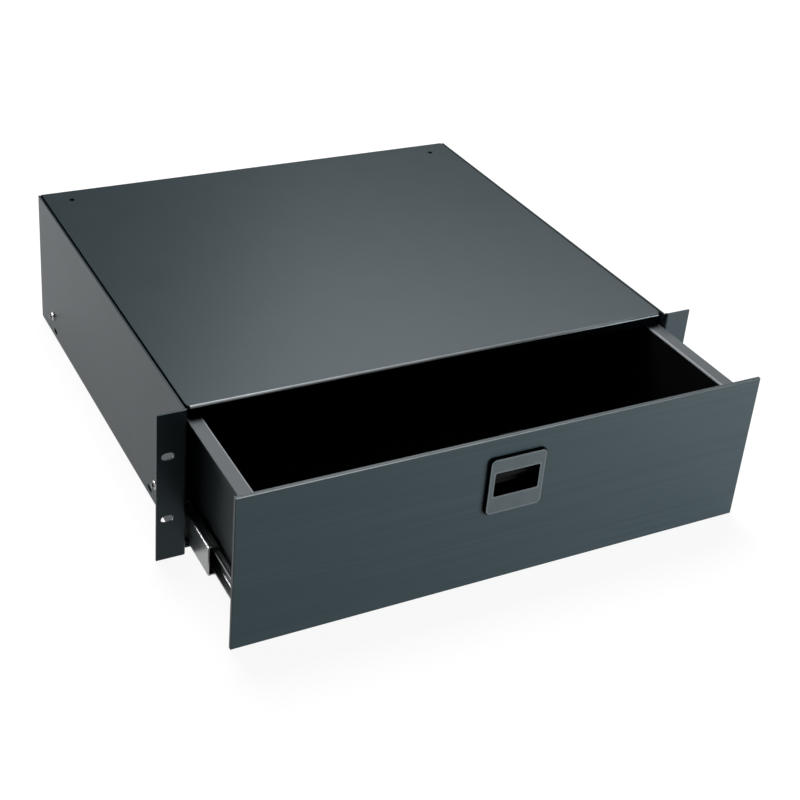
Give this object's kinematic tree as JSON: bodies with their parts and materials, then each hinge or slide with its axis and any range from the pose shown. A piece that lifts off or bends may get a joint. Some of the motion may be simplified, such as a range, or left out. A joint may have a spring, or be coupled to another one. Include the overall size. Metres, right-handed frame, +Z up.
{
  "type": "sliding rack drawer",
  "caption": "Rack-mount storage drawer that slides out of a folded steel case on full-extension ball-bearing slides, with a slam latch in its aluminium face.",
  "frame": {"origin": "middle of the four rack-screw slots, on the rear faces of the ears, where they meet the rack's rails", "axes": "+Z up, the drawer opens towards -Y, and +X is on the right hand of someone who stands before the drawer and looks at its face, along +Y"},
  "size_m": [0.4826, 0.5144, 0.1326],
  "materials": {
    "black_steel": "satin powder coat",
    "black_aluminium": "brushed and anodised black",
    "zinc_steel": "zinc plated",
    "bright_steel": "bright",
    "ball_steel": "polished",
    "spring_steel": "drawn wire",
    "black_plastic": "moulded, fine grain",
    "black_rubber": "matt"
  },
  "bodies": {
    "case": {"left_side_panel": "black_steel", "right_side_panel": "black_steel", "top_panel": "black_steel", "bottom_panel": "black_steel", "rear_panel": "black_steel", "left_slide_outer": "zinc_steel", "right_slide_outer": "zinc_steel", "left_slide_bumper": "black_rubber", "right_slide_bumper": "black_rubber", "left_case_slide_screws": "bright_steel", "right_case_slide_screws": "bright_steel"},
    "left_middle": {"left_slide_middle": "zinc_steel"},
    "right_middle": {"right_slide_middle": "zinc_steel"},
    "left_outer_cage": {"left_outer_ball_cage": "zinc_steel", "left_outer_balls": "ball_steel"},
    "right_outer_cage": {"right_outer_ball_cage": "zinc_steel", "right_outer_balls": "ball_steel"},
    "left_inner_cage": {"left_inner_ball_cage": "zinc_steel", "left_inner_balls": "ball_steel"},
    "right_inner_cage": {"right_inner_ball_cage": "zinc_steel", "right_inner_balls": "ball_steel"},
    "drawer": {"tray": "black_steel", "tray_front_wall": "black_steel", "tray_back_wall": "black_steel", "face_plate": "black_aluminium", "face_screws": "bright_steel", "left_slide_inner": "zinc_steel", "right_slide_inner": "zinc_steel", "left_tray_slide_screws": "bright_steel", "right_tray_slide_screws": "bright_steel", "left_lever_rivet": "bright_steel", "right_lever_rivet": "bright_steel", "latch_housing": "black_plastic", "latch_cover": "black_plastic", "latch_cover_screws": "bright_steel", "latch_spring": "spring_steel"},
    "bolt": {"latch_bolt": "black_plastic"},
    "left_lever": {"left_release_lever": "black_plastic"},
    "right_lever": {"right_release_lever": "black_plastic"}
  },
  "joints": [
    {"name": "drawer_slide", "type": "slide", "parent": "case", "child": "drawer", "axis": [0, -1, 0], "range_m": [-0.11, 0.2335]},
    {"name": "left_middle_slide", "type": "slide", "parent": "case", "child": "left_middle", "axis": [0, -1, 0], "range_m": [-0.055, 0.11675]},
    {"name": "left_outer_cage_slide", "type": "slide", "parent": "case", "child": "left_outer_cage", "axis": [0, -1, 0], "range_m": [-0.0275, 0.05838]},
    {"name": "left_inner_cage_slide", "type": "slide", "parent": "case", "child": "left_inner_cage", "axis": [0, -1, 0], "range_m": [-0.0825, 0.17513]},
    {"name": "right_middle_slide", "type": "slide", "parent": "case", "child": "right_middle", "axis": [0, -1, 0], "range_m": [-0.055, 0.11675]},
    {"name": "right_outer_cage_slide", "type": "slide", "parent": "case", "child": "right_outer_cage", "axis": [0, -1, 0], "range_m": [-0.0275, 0.05838]},
    {"name": "right_inner_cage_slide", "type": "slide", "parent": "case", "child": "right_inner_cage", "axis": [0, -1, 0], "range_m": [-0.0825, 0.17513]},
    {"name": "latch_slide", "type": "slide", "parent": "drawer", "child": "bolt", "axis": [0, 0, -1], "range_m": [0, 0.007], "stiffness_N_per_m": 400, "springref_m": -0.003, "deforming": ["latch_spring"]},
    {"name": "left_lever_pivot", "type": "hinge", "parent": "drawer", "child": "left_lever", "pos_m": [-0.2075, 0.0328, -0.0443], "axis": [1, 0, 0], "range_deg": [0, 5], "stiffness_Nm_per_rad": 0.05, "springref_deg": -1.15},
    {"name": "right_lever_pivot", "type": "hinge", "parent": "drawer", "child": "right_lever", "pos_m": [0.2075, 0.0328, -0.0443], "axis": [1, 0, 0], "range_deg": [0, 5], "stiffness_Nm_per_rad": 0.05, "springref_deg": -1.15}
  ],
  "couplings": [
    {"joint": "left_middle_slide", "follows": "drawer_slide", "ratio": 0.5},
    {"joint": "left_outer_cage_slide", "follows": "drawer_slide", "ratio": 0.25},
    {"joint": "left_inner_cage_slide", "follows": "drawer_slide", "ratio": 0.75},
    {"joint": "right_middle_slide", "follows": "drawer_slide", "ratio": 0.5},
    {"joint": "right_outer_cage_slide", "follows": "drawer_slide", "ratio": 0.25},
    {"joint": "right_inner_cage_slide", "follows": "drawer_slide", "ratio": 0.75}
  ]
}
